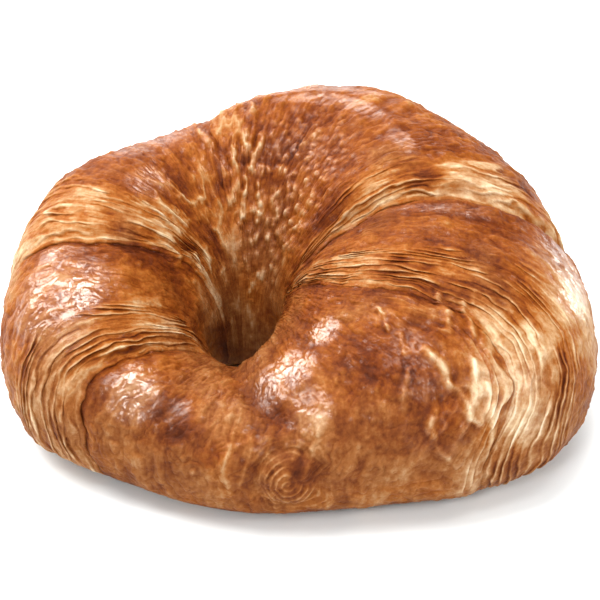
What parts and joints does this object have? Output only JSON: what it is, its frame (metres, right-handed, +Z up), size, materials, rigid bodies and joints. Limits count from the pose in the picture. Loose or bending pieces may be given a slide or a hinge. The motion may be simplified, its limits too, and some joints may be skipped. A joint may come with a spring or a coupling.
{
  "type": "butter croissant",
  "caption": "Butter croissant of laminated dough, golden brown and egg-washed, its tips curved round and joined in front into a ring, with flaky leaves at the edges of its wraps.",
  "frame": {"origin": "middle of the croissant's box, on the flat base it rests on", "axes": "+Z up; -Y towards the joined tips at the front; +X to the right seen from the front"},
  "size_m": [0.1299, 0.1123, 0.0528],
  "materials": {
    "baked_crust": "semi-gloss, egg-washed and mottled"
  },
  "bodies": {
    "root": {"croissant": "baked_crust"}
  },
  "joints": []
}
